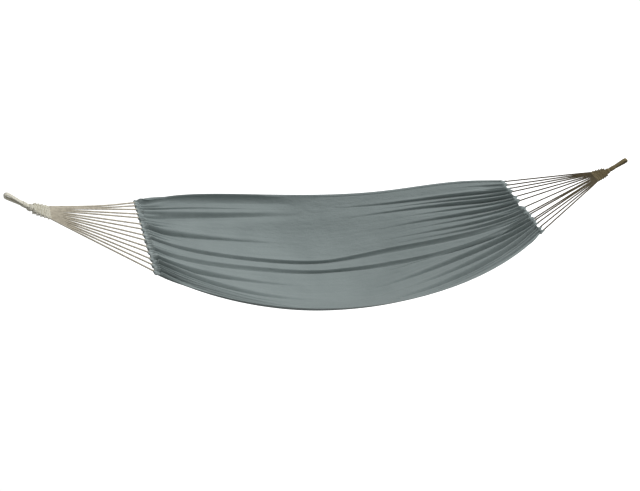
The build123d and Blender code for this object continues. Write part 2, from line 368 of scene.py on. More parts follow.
class Finish:
    """What every finish shares: a new material with one Principled shader."""

    def start(self, name: str) -> tuple:
        """Starts a material.

        Args:
            name: The material's name.

        Returns:
            The material, its Graph and its Principled node.
        """
        material = bpy.data.materials.new(name)
        material.use_nodes = True
        graph = Graph(material.node_tree)
        return material, graph, material.node_tree.nodes["Principled BSDF"]

    def coloured(self, graph: Graph, groups: Groups, values: dict):
        """Places the worn colour group with its values and returns the node."""
        made = graph.node("Group", node_tree=groups.worn)
        for key, value in values.items():
            made.inputs[key].default_value = value
        return made


@dataclass(frozen=True)
class Canvas(Finish):
    """Matt cotton canvas with a plain weave, painted shade between its threads, faint streaks along the cloth and
    creases.
    """

    name: str = "canvas_slate_green"
    base: tuple[float, float, float] = (0.56, 0.60, 0.598)
    dark: tuple[float, float, float] = (0.50, 0.54, 0.538)
    light: tuple[float, float, float] = (0.62, 0.66, 0.658)
    thread: float = 0.0011
    weave_height: float = 0.00012
    wrinkle_height: float = 0.0042

    def build(self, groups: Groups):
        """Makes the material.

        Args:
            groups: The shared shader effects.

        Returns:
            The material.
        """
        material, graph, shader = self.start(self.name)
        values = {"Base": linear(self.base), "Dark": linear(self.dark), "Light": linear(self.light),
                  "Patch Scale": 5.0, "Fleck Scale": 900.0, "Patches": 0.55, "Flecks": 0.35}
        worn = self.coloured(graph, groups, values)
        weave = graph.node("Group", node_tree=groups.weave)
        weave.inputs["Thread"].default_value = self.thread
        place = graph.node("UVMap", uv_map="Cloth").outputs[0]
        streaks = graph.noise(graph.stretch(place, (1.6, 60.0, 1.0)), 1.0, 4.0)
        streaked = graph.mix(graph.spread(streaks, 0.35, 0.7, 0.0, 0.35), worn.outputs["Color"], linear(self.dark))
        # Painted shade between the threads: the weave's gaps are mixed towards the dark colour.
        shaded = graph.mix(graph.math("MULTIPLY", weave.outputs["Gap Shade"], 0.25), streaked, linear(self.dark))
        wrinkles = graph.noise(graph.stretch(place, (14.0, 38.0, 1.0)), 1.0, 5.0, 0.55)
        soft = graph.node("Bump", {"Strength": 1.0, "Distance": self.wrinkle_height, "Height": wrinkles})
        bump = graph.node("Bump", {"Strength": 1.0, "Distance": self.weave_height, "Height": weave.outputs["Height"],
                                   "Normal": soft.outputs[0]})
        rough = graph.spread(worn.outputs["Fleck"], 0.3, 0.7, 0.82, 0.95)
        graph.tree.links.new(shaded, shader.inputs["Base Color"])
        graph.tree.links.new(rough, shader.inputs["Roughness"])
        graph.tree.links.new(bump.outputs[0], shader.inputs["Normal"])
        shader.inputs["Specular IOR Level"].default_value = 0.25
        shader.inputs["Sheen Weight"].default_value = 0.12
        shader.inputs["Sheen Roughness"].default_value = 0.5
        return material


@dataclass(frozen=True)
class CottonYarn(Finish):
    """Undyed cotton cord: cream yarn with fibres, darker soft patches and lighter flecks."""

    name: str = "cotton_cord_cream"
    base: tuple[float, float, float] = (0.82, 0.79, 0.72)
    dark: tuple[float, float, float] = (0.45, 0.41, 0.33)
    light: tuple[float, float, float] = (0.90, 0.88, 0.82)
    patches: float = 0.4
    flecks: float = 0.4
    patch_scale: float = 60.0
    fibre_height: float = 0.0003

    def build(self, groups: Groups):
        """Makes the material.

        Args:
            groups: The shared shader effects.

        Returns:
            The material.
        """
        material, graph, shader = self.start(self.name)
        values = {"Base": linear(self.base), "Dark": linear(self.dark), "Light": linear(self.light),
                  "Patch Scale": self.patch_scale, "Fleck Scale": 700.0, "Patches": self.patches, "Flecks": self.flecks}
        worn = self.coloured(graph, groups, values)
        fibre = graph.node("Group", node_tree=groups.fibre)
        bump = graph.node("Bump", {"Strength": 0.8, "Distance": self.fibre_height, "Height": fibre.outputs["Height"]})
        rough = graph.spread(fibre.outputs["Height"], 0.3, 0.7, 0.8, 0.95)
        graph.tree.links.new(worn.outputs["Color"], shader.inputs["Base Color"])
        graph.tree.links.new(rough, shader.inputs["Roughness"])
        graph.tree.links.new(bump.outputs[0], shader.inputs["Normal"])
        shader.inputs["Specular IOR Level"].default_value = 0.2
        shader.inputs["Sheen Weight"].default_value = 0.15
        return material


class Slot(Enum):
    """The record's material slots."""

    CANVAS = "canvas"
    CORD = "cotton_cord"


class End(Enum):
    """The two ends of the hammock."""

    LEFT = "left"
    RIGHT = "right"


def dress(piece, body: str, material, nodes: tuple[str, ...] = ()) -> None:
    """Gives a piece its body, its material and the nodes that it stands for.

    Args:
        piece: The object.
        body: The body it rides on.
        material: Its material.
        nodes: The CAD nodes that it replaces.
    """
    piece.data.materials.clear()
    piece.data.materials.append(material)
    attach(piece, body)
    if nodes:
        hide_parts(*nodes)
    log.info("%s: %d faces on %s", piece.name, len(piece.data.polygons), body)


# The hammock's own shape

@dataclass(frozen=True)
class Layout:
    """Where everything hangs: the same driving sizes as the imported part, in metres."""

    span: float = 2.86
    neck_run: float = 0.08
    neck_drop: float = 0.064
    hem_run: float = 0.5
    hem_drop: float = 0.253
    channel: float = 0.03
    left_width: float = 0.438
    right_width: float = 0.398
    half_open: float = 0.374
    side_drop: float = 0.413
    trough_depth: float = 0.21
    width_power: float = 3.2
    rise_power: float = 1.5
    softness: float = 0.3
    flat_length: float = 2.0
    flat_width: float = 1.0

    @property
    def half_length(self) -> float:
        """From mid length to where the cloth enters its hems."""
        return self.span / 2 - self.hem_run - self.channel

    @property
    def radius(self) -> float:
        """Radius of the bed's section at mid length, a circular arc."""
        return (self.half_open**2 + self.trough_depth**2) / (2 * self.trough_depth)

    @property
    def angle(self) -> float:
        """Half the arc's angle."""
        return math.atan2(self.half_open, self.radius - self.trough_depth)

    def hem_width(self, end: End) -> float:
        """Width of the gathered cloth at one end."""
        return self.left_width if end is End.LEFT else self.right_width

    def share(self, x: np.ndarray) -> np.ndarray:
        """How far a place is from mid length, from 0 to 1 at a hem."""
        return np.clip(np.abs(x - self.span / 2) / self.half_length, 0.0, 1.0)

    def power_rise(self, share: np.ndarray, power: float) -> np.ndarray:
        """Rises from 0 at the middle to 1 at the hem with a rounded middle: (share squared + softness squared)
        to half the power, shifted and scaled to run from 0 to 1."""
        low = self.softness**power
        high = (1 + self.softness**2) ** (power / 2)
        return ((share**2 + self.softness**2) ** (power / 2) - low) / (high - low)

    def smooth_bed(self, x: np.ndarray, across: np.ndarray) -> np.ndarray:
        """The bed without pleats: an arc at mid length that turns into the flat hem.

        Args:
            x: Place along the span.
            across: Place across the bed, from -1 at the near side to 1 at the far side.

        Returns:
            The points.
        """
        share = self.share(x)
        narrow = self.power_rise(share, self.width_power)
        rise = self.power_rise(share, self.rise_power)
        angle = self.angle * across
        width = np.where(x < self.span / 2, self.left_width, self.right_width)
        y = (1 - narrow) * self.radius * np.sin(angle) + narrow * width / 2 * across
        hollow = self.radius * (1 - np.cos(angle)) - self.side_drop - self.trough_depth
        z = (1 - rise) * hollow - rise * self.hem_drop
        return np.stack([x + 0 * across, y, z], axis=-1)

    def half_arc(self, x: np.ndarray) -> np.ndarray:
        """Half the length of the bed's section at a place along the span."""
        narrow = self.power_rise(self.share(x), self.width_power)
        width = np.where(x < self.span / 2, self.left_width, self.right_width)
        return (1 - narrow) * self.radius * self.angle + narrow * width / 2

    def at_end(self, end: End, points: np.ndarray) -> np.ndarray:
        """Points given from one end's bearing point, in the frame; the right end is mirrored."""
        if end is End.LEFT:
            return points
        return points * np.array([-1.0, 1.0, 1.0]) + np.array([self.span, 0.0, 0.0])


@dataclass(frozen=True)
class Fold:
    """One furrow of the cloth that runs in from a hem.

    middle is its place across the open bed, hem its place across the hem and power how late it turns to it.
    depth and width are its furrow's, reach how far it runs in from the hem before it fades, and wall is the
    width of its steep far side as a share of the width. A furrow that meets its other half at mid length has the
    reach THROUGH.
    """

    middle: float
    hem: float
    power: float
    depth: float
    width: float
    reach: float
    wall: float = 0.38


THROUGH = math.inf
LEFT_FOLDS = (
    Fold(-0.92, -0.975, 1.0, 0.010, 0.006, 0.75, 0.3),
    Fold(-0.82, -0.95, 1.1, 0.013, 0.007, 0.75, 0.3),
    Fold(-0.72, -0.92, 1.2, 0.015, 0.008, 0.75, 0.3),
    Fold(-0.60, -0.87, 1.3, 0.019, 0.009, 0.80, 0.3),
    Fold(-0.48, -0.82, 2.0, 0.016, 0.008, 0.45),
    Fold(-0.35, -0.75, 2.5, 0.024, 0.011, 0.60),
    Fold(-0.12, -0.62, 3.0, 0.024, 0.011, 0.50),
    Fold(0.10, -0.39, 2.6, 0.016, 0.007, THROUGH, 1.2),
    Fold(0.23, -0.11, 2.4, 0.016, 0.007, THROUGH, 0.8),
    Fold(0.45, 0.20, 2.5, 0.022, 0.014, 0.42),
    Fold(0.78, 0.56, 1.5, 0.030, 0.018, 0.60, 0.8),
    Fold(0.84, 0.76, 1.5, 0.012, 0.008, 0.40),
    Fold(0.90, 0.86, 1.5, 0.036, 0.020, 0.75, 1.7),
)
RIGHT_FOLDS = (
    Fold(-0.82, -0.95, 2.8, 0.020, 0.009, 0.60),
    Fold(-0.72, -0.88, 2.8, 0.018, 0.008, 0.45),
    Fold(-0.62, -0.80, 2.8, 0.028, 0.012, 0.65),
    Fold(-0.45, -0.72, 3.6, 0.026, 0.011, 0.45),
    Fold(-0.28, -0.63, 4.0, 0.026, 0.012, 0.56),
    Fold(-0.08, -0.53, 3.5, 0.020, 0.010, 0.38),
    Fold(0.10, -0.43, 1.5, 0.016, 0.007, THROUGH, 1.8),
    Fold(0.23, -0.33, 2.3, 0.016, 0.007, THROUGH, 2.0),
    Fold(0.30, -0.21, 2.4, 0.013, 0.008, 0.30),
    Fold(0.36, -0.10, 2.4, 0.016, 0.009, 0.34),
    Fold(0.43, 0.02, 2.5, 0.013, 0.008, 0.26),
    Fold(0.50, 0.12, 2.6, 0.018, 0.010, 0.36),
    Fold(0.60, 0.25, 2.6, 0.014, 0.009, 0.30),
    Fold(0.70, 0.36, 2.7, 0.022, 0.012, 0.46),
    Fold(0.77, 0.49, 2.2, 0.014, 0.009, 0.34),
    Fold(0.84, 0.62, 1.8, 0.018, 0.012, 0.55),
)
LEFT_STRANDS = (0.95, 0.86, 0.75, 0.62, 0.51, 0.33, 0.19, 0.02, -0.12, -0.3, -0.45, -0.62, -0.77, -0.94)
RIGHT_STRANDS = (0.95, 0.8, 0.67, 0.54, 0.35, 0.18, -0.07, -0.28, -0.34, -0.51, -0.57, -0.68, -0.82, -0.95)


@dataclass(frozen=True)
class Gather:
    """How the cloth is gathered at one end: its long furrows, and the short ones at each strand and between."""

    layout: Layout
    end: End
    folds: tuple[Fold, ...]
    strands: tuple[float, ...]
    seed: int
    pinch_depth: float = 0.015
    pinch_width: float = 0.0034
    pinch_reach: float = 0.070
    crease_pitch: float = 0.014
    pucker_rise: float = 0.85
    highest_pucker: float = 0.0105
    pucker_reach: tuple[float, float] = (0.04, 0.16)
    middle_wall: float = 0.28
    wall_power: float = 2.0
    slope_power: float = 1.2
    ridge_share: float = 0.35
    stitch_depth: float = 0.5
    stitch_width: float = 0.007
    middle_fade: float = 0.25

    def run(self, x: np.ndarray) -> np.ndarray:
        """Distance in from this end's hem."""
        start = self.layout.hem_run + self.layout.channel
        return x - start if self.end is End.LEFT else self.layout.span - start - x

    def side_share(self, x: np.ndarray) -> np.ndarray:
        """From 0 at mid length to 1 at this end's hem, and 0 in the other half."""
        return np.clip(1 - self.run(x) / self.layout.half_length, 0.0, 1.0)

    def knots(self) -> tuple[np.ndarray, np.ndarray, np.ndarray]:
        """Places across the open bed, places across the hem, and powers, from the near side to the far side."""
        middle = np.array([-1.0, *[fold.middle for fold in self.folds], 1.0])
        hem = np.array([-1.0, *[fold.hem for fold in self.folds], 1.0])
        power = np.array([2.0, *[fold.power for fold in self.folds], 2.0])
        return middle, hem, power

    def warp(self, x: np.ndarray, cloth: np.ndarray) -> np.ndarray:
        """How far the cloth's lines are drawn aside towards this end.

        Each furrow's line moves by (hem - middle) times the share to its power, and the lines between two furrows
        move by what lies in line between theirs.

        Args:
            x: Place of each row along the span.
            cloth: Place of each line across the cloth, from -1 to 1.

        Returns:
            The shift across the bed, a row for each x and a column for each line.
        """
        middle, hem, power = self.knots()
        hats = np.stack([np.interp(cloth, middle, row) for row in np.eye(len(middle))], axis=0)
        moves = (hem - middle) * self.side_share(x)[:, None] ** power
        return moves @ hats

    def creases(self) -> tuple[np.ndarray, np.ndarray, np.ndarray]:
        """The short creases at the hem: one at each strand and some between, unevenly spaced.

        Returns:
            Their places across the hem in rising order, and the height and the reach of the ridge after each.
        """
        generator = np.random.default_rng(self.seed)
        half = self.layout.hem_width(self.end) / 2
        strands = np.array([-1.0, *self.strands[::-1], 1.0])
        places = []
        for first, second in zip(strands, strands[1:]):
            count = max(1, round((second - first) * half / self.crease_pitch))
            number = np.arange(count)
            shares = (number + generator.uniform(-0.25, 0.25, count) * (number > 0)) / count
            places.append(first + (second - first) * shares)
        places = np.concatenate([*places, [1.0]])
        gaps = np.diff(places) * half
        rise = np.minimum(gaps * self.pucker_rise, self.highest_pucker) * generator.uniform(0.6, 1.3, len(gaps))
        return places, rise, generator.uniform(*self.pucker_reach, len(gaps))

    def puckers(self, x: np.ndarray, cloth: np.ndarray) -> np.ndarray:
        """The short gathers: a rounded ridge between each two creases, and a narrow dent at each strand.

        A ridge's height over its creases is sin(pi share) to the power of 0.7, and it fades with the square of the
        run over its reach. Half of the ridge lies below the smooth cloth.

        Args:
            x: Place of each row along the span.
            cloth: Place of each line across the cloth.

        Returns:
            The height at each point.
        """
        middle, hem, _ = self.knots()
        place = np.interp(cloth, middle, hem)
        places, rise, reach = self.creases()
        index = np.clip(np.searchsorted(places, place, side="right") - 1, 0, len(rise) - 1)
        share = np.clip((place - places[index]) / (places[index + 1] - places[index]), 0.0, 1.0)
        ridge = np.abs(np.sin(np.pi * share)) ** 0.7 - 0.5
        run = np.maximum(self.run(x), 0.0)[:, None]
        away = (place[:, None] - np.array(self.strands)[None]) * self.layout.hem_width(self.end) / 2
        dents = power_fall(away, self.pinch_width, 1.5).max(axis=1) * self.pinch_depth
        return rise[index] * ridge * power_fall(run, reach[index], 2.0) - dents * power_fall(run, self.pinch_reach, 2.0)

    def furrow(self, fold: Fold, x: np.ndarray, across: np.ndarray) -> np.ndarray:
        """Depth of one furrow over the cloth: a crease across, times how it opens and fades along.

        Args:
            fold: The furrow.
            x: Place of each row along the span.
            across: Place across the bed of each point.

        Returns:
            The depth at each point.
        """
        run = np.maximum(self.run(x), 0.0)[:, None]
        share = self.side_share(x)[:, None]
        line = fold.middle + (fold.hem - fold.middle) * share**fold.power
        distance = (across - line) * self.layout.half_arc(x)[:, None]
        pinched = 1.0 + self.stitch_depth * np.exp(-((run / self.stitch_width) ** 2))
        fade = 1.0
        if fold.reach < THROUGH:
            fade = np.exp(-((run / fold.reach) ** 2)) * (1 - np.exp(-((share / self.middle_fade) ** 2)))
        width = fold.width * (0.55 + 0.45 * np.minimum(run / 0.12, 1.0))
        steepest = self.middle_wall + (fold.wall - self.middle_wall) * np.minimum(share / 0.35, 1.0)
        wall = power_fall(distance, width * steepest, self.wall_power)
        slope = power_fall(distance, width, self.slope_power)
        ridge = self.ridge_share * power_fall(distance - width * (0.7 + steepest), width * 0.6, 2.0)
        shape = np.where(distance > 0, wall, slope) - ridge
        return fold.depth * pinched * fade * shape


@dataclass
class BedCloth:
    """The sheet of canvas between the gathered hems."""

    layout: Layout
    gathers: dict[End, Gather]
    rows: int = 111
    lines: int = 431
    thickness: float = 0.0012
    ripple: float = 0.0035
    crowding: float = 2.6
    crowd_width: float = 0.03
    fall: float = 0.034
    fall_start: float = 0.45
    deepest: float = 0.042
    deepest_at_hem: float = 0.012
    hem_swell: float = 0.004
    hem_swell_run: float = 0.05

    def row_places(self) -> np.ndarray:
        """Places of the rows along the span: close together at the hems, wide apart in the middle."""
        even = np.linspace(-1.0, 1.0, self.rows)
        eased = np.sign(even) * (1 - (1 - np.abs(even)) ** 1.7)
        return self.layout.span / 2 + eased * self.layout.half_length

    def ripples(self, x: np.ndarray, cloth: np.ndarray) -> np.ndarray:
        """Slow swells that run along the cloth: a few cosines across, each drifting a little along the span."""
        share = self.layout.share(x)[:, None]
        place = (x - self.layout.span / 2)[:, None]
        total = np.zeros((len(x), len(cloth)))
        for waves, drift, offset, weight in ((5.3, 0.9, 0.4, 1.0), (8.7, -1.4, 1.9, 0.7), (13.1, 1.8, 4.1, 0.5), (19.7, -1.1, 2.6, 0.3)):
            total += weight * np.cos(waves * cloth[None] * 1.6 + drift * place * 2.0 + offset)
        return self.ripple * total * (0.35 + 0.65 * share) * (1 - share**6)

    def surface(self, x: np.ndarray, cloth: np.ndarray) -> np.ndarray:
        """The cloth's upper face.

        A point lies on the smooth bed, its line drawn aside by both gathers, then it is lowered along the bed's
        normal by every furrow and moved by the ripples.

        Args:
            x: Places of the rows along the span.
            cloth: Places of the lines across the cloth, from -1 to 1.

        Returns:
            The points, a row for each x.
        """
        smooth, normal, height = self.parts(x, cloth)
        return smooth + normal * height[..., None]

    def parts(self, x: np.ndarray, cloth: np.ndarray) -> tuple[np.ndarray, np.ndarray, np.ndarray]:
        """The smooth bed's points under the cloth, its normals there, and the cloth's height above it.

        Args:
            x: Places of the rows along the span.
            cloth: Places of the lines across the cloth, from -1 to 1.

        Returns:
            Points, normals and heights, a row for each x.
        """
        across = cloth[None] + sum(gather.warp(x, cloth) for gather in self.gathers.values())
        grid = np.broadcast_to(x[:, None], across.shape)
        smooth = self.layout.smooth_bed(grid, across)
        step = 1e-4
        sideways = unit(self.layout.smooth_bed(grid, across + step) - self.layout.smooth_bed(grid, across - step))
        along = unit(self.layout.smooth_bed(grid + step, across) - self.layout.smooth_bed(grid - step, across))
        normal = unit(np.cross(along, sideways))
        furrows, puckers = np.zeros(across.shape), np.zeros(across.shape)
        for end, gather in self.gathers.items():
            own = x <= self.layout.span / 2 if end is End.LEFT else x > self.layout.span / 2
            for fold in gather.folds:
                furrows[own] -= gather.furrow(fold, x[own], across[own])
            puckers[own] += gather.puckers(x[own], cloth)
        place = np.abs(x - self.layout.span / 2) / self.layout.half_length
        from_hem = self.layout.half_length * (1 - place)[:, None]
        deepest = self.deepest - (self.deepest - self.deepest_at_hem) * power_fall(from_hem, self.hem_swell_run, 1.0)
        height = deepest * np.tanh(furrows / deepest) + puckers
        smooth = smooth + Z_UP * self.sunk_edge(x, across)[..., None]
        return smooth, normal, height + self.ripples(x, cloth) + self.fuller_hems(x)

    def fuller_hems(self, x: np.ndarray) -> np.ndarray:
        """How the gathered cloth stands fuller at the hems."""
        from_hem = self.layout.half_length - np.abs(x - self.layout.span / 2)
        return self.hem_swell * power_fall(from_hem, self.hem_swell_run, 1.0)[:, None]

    def sunk_edge(self, x: np.ndarray, across: np.ndarray) -> np.ndarray:
        """How far the far part sinks right of the middle, straight down.

        Args:
            x: Places of the rows along the span.
            across: Places across the bed.

        Returns:
            The change of height, which grows from fall_start to the edge.
        """
        place = (x[:, None] - self.layout.span / 2) / self.layout.half_length
        strip = np.clip((across - self.fall_start) / (1 - self.fall_start), 0.0, 1.0) ** 1.3
        return -self.fall * power_fall(place - 0.44, 0.38, 2.0) * strip * (1 - np.abs(place) ** 10)

    def line_places(self) -> np.ndarray:
        """Places of the lines across the cloth, closer together at the furrows."""
        even = np.linspace(-1.0, 1.0, 4001)
        density = np.ones_like(even)
        for gather in self.gathers.values():
            for fold in gather.folds:
                density += self.crowding / 2 * power_fall(even - fold.middle, self.crowd_width, 2.0)
        total = np.concatenate([[0.0], np.cumsum((density[1:] + density[:-1]) / 2)])
        return np.interp(np.linspace(0.0, total[-1], self.lines), total, even)

    def edge(self, x: np.ndarray, side: int) -> tuple[np.ndarray, np.ndarray, np.ndarray]:
        """The cloth's edge on one side with the directions outwards and up.

        Args:
            x: Places along the span.
            side: 1 for the far side, -1 for the near side.

        Returns:
            Points of the edge, outward directions and upward normals.
        """
        cloth = np.array([side * 0.985, side * 1.0]) if side > 0 else np.array([-1.0, -0.985])
        points = self.surface(x, cloth)
        last, inner = (points[:, 1], points[:, 0]) if side > 0 else (points[:, 0], points[:, 1])
        outward = unit(last - inner)
        along = unit(np.gradient(last, axis=0))
        up = unit(np.cross(along, outward)) * side
        return last, outward, up

    def build(self, material):
        """Args:
            material: The canvas.

        Returns:
            The object.
        """
        x = self.row_places()
        cloth = self.line_places()
        top = self.surface(x, cloth)
        normal = unit(np.cross(np.gradient(top, axis=0), np.gradient(top, axis=1)))
        low = top - normal * self.thickness
        points = np.concatenate([top, low[:, ::-1]], axis=1)
        flat = (x - self.layout.span / 2) / self.layout.half_length * self.layout.flat_length / 2
        lines = cloth * self.layout.flat_width / 2
        around = np.concatenate([lines, lines[::-1], lines[:1]])
        count = points.shape[1]
        quads = grid_quads(self.rows, count, True)
        uv = grid_uv(flat, around)
        caps = []
        for row in (0, self.rows - 1):
            base = row * count
            near, far = np.arange(self.lines - 1), count - 1 - np.arange(self.lines - 1)
            ring = np.stack([near, near + 1, far - 1, far], axis=1) + base
            caps += (ring if row == 0 else ring[:, ::-1]).tolist()
        piece = new_piece("bed_cloth_canvas", points, quads, uv, caps)
        dress(piece, "bed", material, ("bed_cloth",))
        return piece


@dataclass
class SideHem:
    """A folded hem along one long edge, with its line of stitches."""

    bed: BedCloth
    side: int
    width: float = 0.012
    thickness: float = 0.0036
    inward: float = 0.3
    rows: int = 420
    around: int = 16
    stitch_pitch: float = 0.0042
    stitch_length: float = 0.003
    stitch_radius: float = 0.00045

    def build(self, material, thread) -> None:
        """Makes the rolled strip and its stitches.

        The strip's section is an ellipse to the power of 0.7, its thickness puckered along its length.

        Args:
            material: The canvas.
            thread: The thread's material.
        """
        label = "far" if self.side > 0 else "near"
        layout = self.bed.layout
        even = np.linspace(-1.0, 1.0, self.rows)
        x = layout.span / 2 + even * layout.half_length
        edge, outward, up = self.bed.edge(x, self.side)
        turn = np.linspace(0.0, 2 * math.pi, self.around, endpoint=False)
        flat = np.sign(np.cos(turn)) * np.abs(np.cos(turn)) ** 0.7
        tall = np.sign(np.sin(turn)) * np.abs(np.sin(turn)) ** 0.7
        pucker = 1.0 + 0.08 * np.sin(x / 0.0042 * 1.3) + 0.06 * np.sin(x / 0.011)
        middle = edge - outward * self.width * self.inward
        points = (middle[:, None] + outward[:, None] * (flat * self.width / 2)[None, :, None]
                  + up[:, None] * (tall[None] * self.thickness / 2 * pucker[:, None])[..., None])
        quads = grid_quads(self.rows, self.around, True)
        uv = grid_uv(x, np.linspace(0, 2 * (self.width + self.thickness), self.around + 1))
        caps = [list(range(self.around))[::-1], list(range((self.rows - 1) * self.around, self.rows * self.around))]
        if self.side > 0:
            quads, caps = quads[:, ::-1], [cap[::-1] for cap in caps]
            uv = uv.reshape(-1, 4, 2)[:, ::-1].reshape(-1, 2)
        strip = new_piece(f"{label}_side_hem_fold", points, quads, uv, caps)
        dress(strip, "bed", material, (f"{label}_side_hem",))
        places = np.arange(x[0] + self.stitch_pitch, x[-1], self.stitch_pitch)
        line, out, lift = self.bed.edge(places, self.side)
        seats = line - out * self.width * 0.6 + lift * (self.thickness / 2 + 0.0001)
        forward = unit(np.gradient(seats, axis=0))
        stitches = stitch_row(f"{label}_side_stitches", seats, forward, lift, self.stitch_length, self.stitch_radius)
        dress(stitches, "bed", thread)


def stitch_row(name: str, seats: np.ndarray, forward: np.ndarray, lift: np.ndarray, length: float, radius: float):
    """A row of stitches: each a short thread, thick in its middle, that dips into the cloth at both ends.

    Args:
        name: The piece's name.
        seats: The stitches' middles.
        forward: Direction of each stitch.
        lift: The cloth's normal at each stitch.
        length: A stitch's length.
        radius: Its thread's radius.

    Returns:
        The object.
    """
    reach = np.array([-0.5, -0.3, 0.0, 0.3, 0.5])
    girth = np.array([0.35, 0.95, 1.0, 0.95, 0.35])
    dip = np.array([-1.4, -0.2, 0.2, -0.2, -1.4])
    turn = np.linspace(0, 2 * math.pi, 6, endpoint=False)
    side = unit(np.cross(forward, lift))
    spine = seats[:, None] + forward[:, None] * (reach * length)[None, :, None] + lift[:, None] * (dip * radius)[None, :, None]
    round_about = np.cos(turn)[:, None] * side[:, None, None] + np.sin(turn)[:, None] * lift[:, None, None]
    points = spine[:, :, None] + round_about * (girth * radius)[None, :, None, None]
    count, rings, sides = points.shape[:3]
    one = grid_quads(rings, sides, True)
    quads = (one[None] + (np.arange(count) * rings * sides)[:, None, None]).reshape(-1, 4)
    uv = np.tile(grid_uv(reach * length, np.linspace(0, 6 * radius, sides + 1)), (count, 1))
    ends = np.array([list(range(sides)), list(range(rings * sides - 1, (rings - 1) * sides - 1, -1))])
    caps = (ends[None] + (np.arange(count) * rings * sides)[:, None, None]).reshape(-1, sides)[:, ::-1]
    return new_piece(name, points, quads, uv, caps.tolist())


@dataclass
class EndHem:
    """The cloth's end, folded into a channel and gathered on the cords."""

    bed: BedCloth
    gather: Gather
    columns: int = 1100
    around: int = 30
    half_thickness: float = 0.0030
    cloth_half: float = 0.0012
    scallop: float = 0.30
    deepest: float = 0.011
    over_cord: float = 0.0085
    cord_cover: float = 0.0050
    fullest: float = 0.008
    cord_place: float = 0.017
    tab: float = 0.004
    tab_width: float = 0.006

    def lobes(self, y: np.ndarray) -> tuple[np.ndarray, np.ndarray, np.ndarray]:
        """How the hem puffs out between the strands.

        Args:
            y: Places across the hem.

        Returns:
            How far the outer edge falls back, less where a cord runs inside; the fullness from 0 at a strand to 1
            between two; and 1 where a cord lies inside, else less.
        """
        half = self.bed.layout.hem_width(self.gather.end) / 2
        places = np.array([half + 0.006, *[share * half for share in self.gather.strands], -half - 0.006])
        after = np.clip(np.searchsorted(-places, -y, side="right"), 1, len(places) - 1)
        far, near = places[after - 1], places[after]
        phase = np.clip((far - y) / (far - near), 0.0, 1.0)
        lobe = np.abs(np.sin(np.pi * phase))
        depth = self.scallop * (far - near)
        limit = np.where(after % 2 == 0, self.over_cord, self.deepest)
        tab = self.tab * power_fall(np.minimum(far - y, y - near), self.tab_width, 1.5)
        back = np.minimum(depth, limit) * lobe**0.8 - tab
        return back, lobe**0.6, np.where(after % 2 == 0, 1.0, 1 - 0.7 * lobe)

    def build(self, material):
        """Makes the puffed channel.

        It carries the cloth's own furrows on: at the line of stitches its middle lies where the cloth's does, and
        towards the outer edge it comes down to the cords. Its section is a loop, thin at the stitches and round
        at the outer edge, where the furrows cut into its thickness.

        Args:
            material: The canvas.

        Returns:
            The object.
        """
        layout, end = self.bed.layout, self.gather.end
        start = layout.hem_run + layout.channel
        seam = start if end is End.LEFT else layout.span - start
        cloth = np.linspace(-1.0, 1.0, self.columns)
        smooth, normal, height = (part[0] for part in self.bed.parts(np.array([seam]), cloth))
        y = smooth[:, 1]
        back, full, carried = self.lobes(y)
        fine = 0.5 * np.sin(y / 0.0019 + 1.6 * np.sin(y / 0.011)) + 0.5 * np.sin(y / 0.0031 + 2.0)
        ridge = self.gather.puckers(np.array([seam]), cloth)[0]
        outer = layout.channel - back + 0.0008 * fine + np.clip(ridge * 0.3, -0.003, 0.003)
        turn = np.linspace(0.0, 2 * math.pi, self.around, endpoint=False)
        flat = np.sign(np.cos(turn)) * np.abs(np.cos(turn)) ** 0.6
        tall = np.sign(np.sin(turn)) * np.abs(np.sin(turn)) ** 0.6
        share = (flat[None] + 1) / 2
        out = -0.002 + share * (outer[:, None] + 0.002)
        down = np.clip(out / 0.015, 0.0, 1.0)
        follow = 1 - down**2 * (3 - 2 * down)
        cut = np.clip(1 + height / 0.03 + ridge / 0.008, 0.3, 1.7) * (0.6 + 0.4 * full) * (1 + 0.12 * fine)
        puff = self.half_thickness * cut[:, None] * np.sin(np.pi / 2 * np.clip(out / 0.014, 0.0, 1.0))
        cover = self.cord_cover * carried[:, None] * power_fall(out - self.cord_place - 0.003, 0.013, 4.0)
        lobe = np.clip(ridge, 0.0, self.fullest)[:, None] * np.sin(np.pi / 2 * np.clip(out / 0.01, 0.0, 1.0))
        thick = np.maximum(self.cloth_half + puff, cover) + lobe * 0.8
        away = np.array([-1.0, 0.0, 0.0]) if end is End.LEFT else np.array([1.0, 0.0, 0.0])
        rise = height[:, None] * follow + thick * tall[None] - self.cloth_half
        climb = (layout.hem_drop - layout.neck_drop) / (layout.hem_run - layout.neck_run)
        level = (-layout.hem_drop - smooth[:, 2])[:, None] * (1 - follow) + climb * np.maximum(out - self.cord_place, 0.0)
        points = smooth[:, None] + out[..., None] * away + rise[..., None] * normal[:, None] + level[..., None] * Z_UP
        quads = grid_quads(self.columns, self.around, True)
        uv = grid_uv(cloth * layout.flat_width / 2, np.linspace(0, 0.07, self.around + 1))
        caps = [list(range(self.around))[::-1], list(range((self.columns - 1) * self.around, self.columns * self.around))]
        if end is End.LEFT:
            quads, caps = quads[:, ::-1], [cap[::-1] for cap in caps]
            uv = uv.reshape(-1, 4, 2)[:, ::-1].reshape(-1, 2)
        piece = new_piece(f"{end.value}_end_hem_gather", points, quads, uv, caps)
        dress(piece, "bed", material, (f"{end.value}_end_hem",))
        return piece


# Cords

